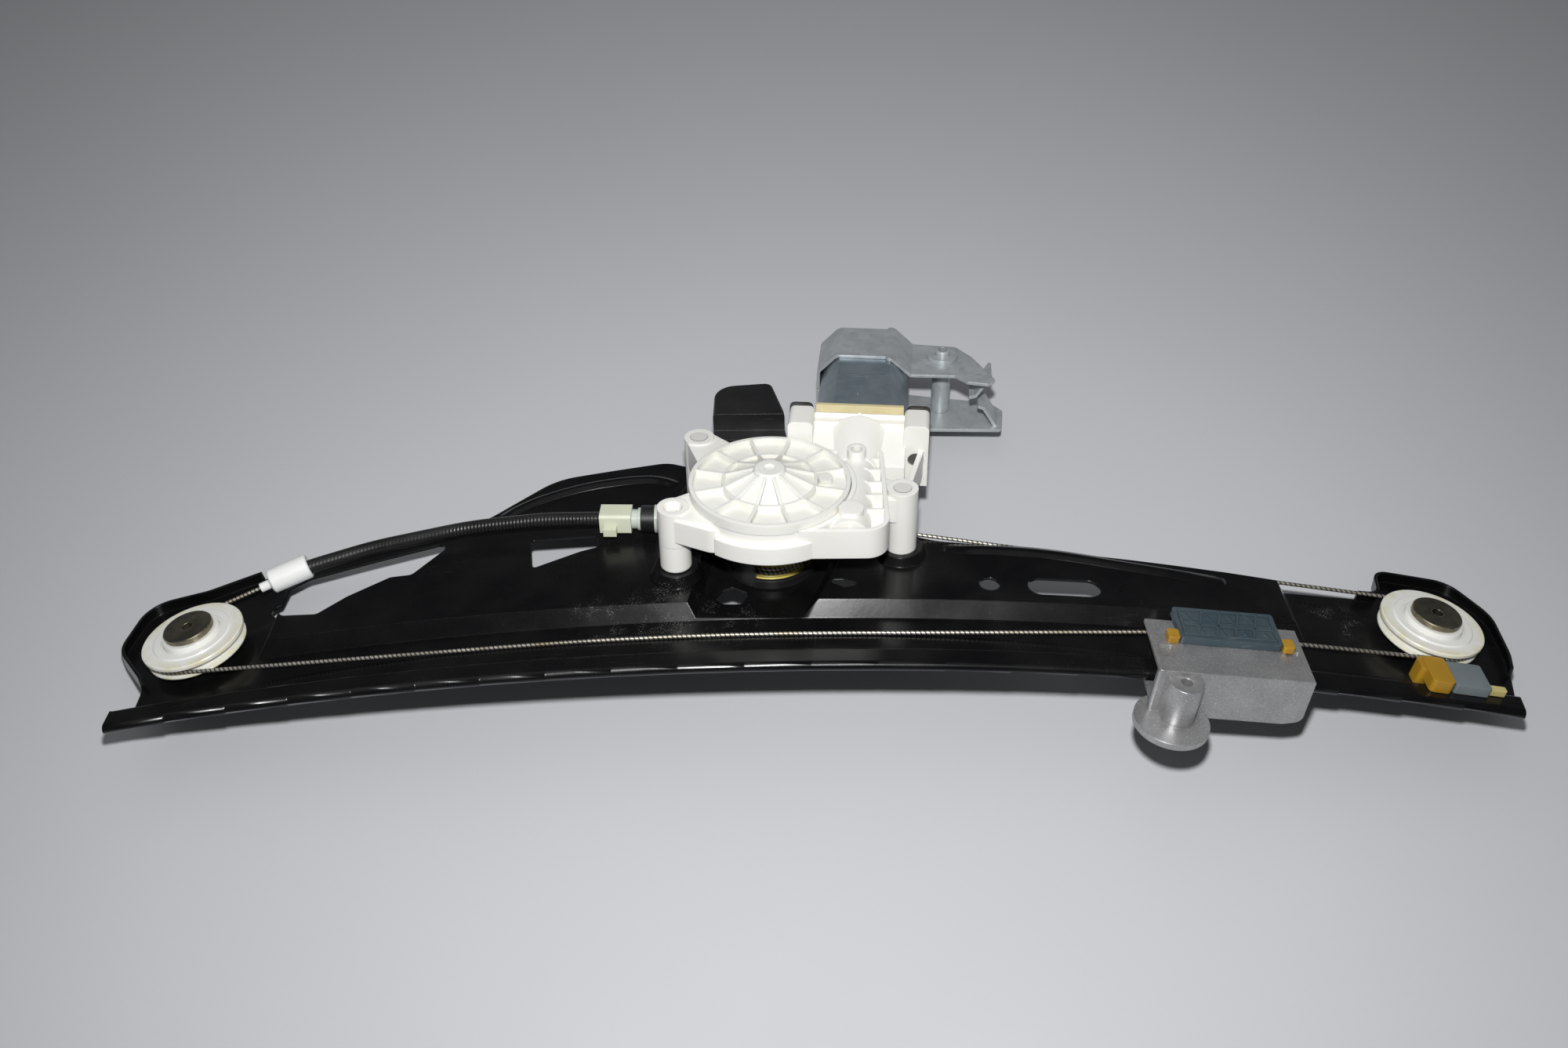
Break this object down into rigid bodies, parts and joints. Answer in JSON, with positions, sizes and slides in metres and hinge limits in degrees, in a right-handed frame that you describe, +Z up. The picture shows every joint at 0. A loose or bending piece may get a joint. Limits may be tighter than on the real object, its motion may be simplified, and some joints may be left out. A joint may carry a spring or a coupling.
{
  "type": "window regulator",
  "caption": "Single-rail cable window regulator with geared motor, cable drum, two pulleys and a cast slider.",
  "frame": {"origin": "centre of the carrier plate's round locating hole, at the plate's upper face", "axes": "+X along the rail towards the end stop, +Y level, from the rail towards the motor, +Z up; the part lies on its back as it rests on the floor"},
  "size_m": [0.6281, 0.2384, 0.0902],
  "materials": {
    "black_steel": "gloss",
    "axle_steel": "satin",
    "cable_steel": "satin",
    "conduit_black": "gloss",
    "white_plastic": "gloss",
    "cream_plastic": "satin",
    "clear_sleeve": "gloss",
    "spring_steel": "satin",
    "black_plastic": "satin",
    "ivory_plastic": "satin",
    "pulley_plastic": "gloss",
    "drum_plastic": "gloss",
    "zinc_steel": "satin",
    "can_steel": "satin",
    "magnet": "matte",
    "amber_plastic": "gloss",
    "gasket_plastic": "satin",
    "bronze": "satin",
    "rubber_black": "matte",
    "steel": "satin",
    "copper": "satin",
    "cast_aluminium": "satin",
    "slate_plastic": "satin",
    "slate_light": "satin",
    "peg_plastic": "gloss",
    "shoe_plastic": "satin"
  },
  "bodies": {
    "carrier": {"carrier_plate": "black_steel", "left_axle": "axle_steel", "right_axle": "axle_steel", "front_cable": "cable_steel", "rear_cable": "cable_steel", "upper_cable": "cable_steel", "conduit": "conduit_black", "conduit_cap": "white_plastic", "adjuster_housing": "cream_plastic", "adjuster_sleeve": "clear_sleeve", "tension_spring": "spring_steel", "drum_housing": "black_plastic", "gear_housing": "ivory_plastic", "gear_cover": "ivory_plastic", "gear_pin": "steel", "motor_can": "can_steel", "motor_magnets": "magnet", "brush_holder": "black_plastic", "motor_gasket": "gasket_plastic", "can_bearing": "bronze", "worm_bearings": "bronze", "lug_pads": "rubber_black", "motor_screws": "steel", "mount_bush": "ivory_plastic", "mounting_screws": "steel", "electronics_case": "black_plastic", "connector_pins": "bronze", "strap_upper": "zinc_steel", "strap_lower": "zinc_steel", "bracket_spacer": "zinc_steel", "bracket_stud": "zinc_steel", "stop_bumper": "amber_plastic", "stop_bracket": "slate_light", "stop_peg": "peg_plastic"},
    "slider": {"slider_casting": "cast_aluminium", "cable_holder": "slate_plastic", "cable_nipples": "amber_plastic", "guide_shoes": "shoe_plastic"},
    "left_wheel": {"left_pulley": "pulley_plastic"},
    "right_wheel": {"right_pulley": "pulley_plastic"},
    "drum": {"cable_drum": "drum_plastic", "drum_windings": "cable_steel", "worm_wheel": "pulley_plastic", "wheel_damper": "rubber_black", "drive_plate": "steel"},
    "armature": {"worm_shaft": "steel", "armature_core": "steel", "commutator": "copper"}
  },
  "joints": [
    {"name": "armature_spin", "type": "hinge", "parent": "carrier", "child": "armature", "pos_m": [-0.05962, 0.03318, 0.01921], "axis": [0.0906, 0.9201, -0.3811], "range_deg": [-84000, 9700]},
    {"name": "slider_travel", "type": "hinge", "parent": "carrier", "child": "slider", "pos_m": [-0.07627, -0.62213, -1.36163], "axis": [0, 0.9239, -0.3827], "range_deg": [-14.7, 1.7]},
    {"name": "left_pulley_spin", "type": "hinge", "parent": "carrier", "child": "left_wheel", "pos_m": [-0.35428, -0.01615, -0.01783], "axis": [-0.1854, 0.376, 0.9079], "range_deg": [-1060, 125]},
    {"name": "right_pulley_spin", "type": "hinge", "parent": "carrier", "child": "right_wheel", "pos_m": [0.19564, -0.01572, -0.01678], "axis": [0.1813, 0.3763, 0.9086], "range_deg": [-1060, 125]},
    {"name": "drum_spin", "type": "hinge", "parent": "carrier", "child": "drum", "pos_m": [-0.09667, 0.0215, -0.00897], "axis": [0, 0.3827, 0.9239], "range_deg": [-1340, 160]}
  ],
  "couplings": [
    {"joint": "slider_travel", "follows": "armature_spin", "ratio": 0.00017467},
    {"joint": "left_pulley_spin", "follows": "armature_spin", "ratio": 0.012592},
    {"joint": "right_pulley_spin", "follows": "armature_spin", "ratio": 0.012592},
    {"joint": "drum_spin", "follows": "armature_spin", "ratio": 0.015873}
  ]
}
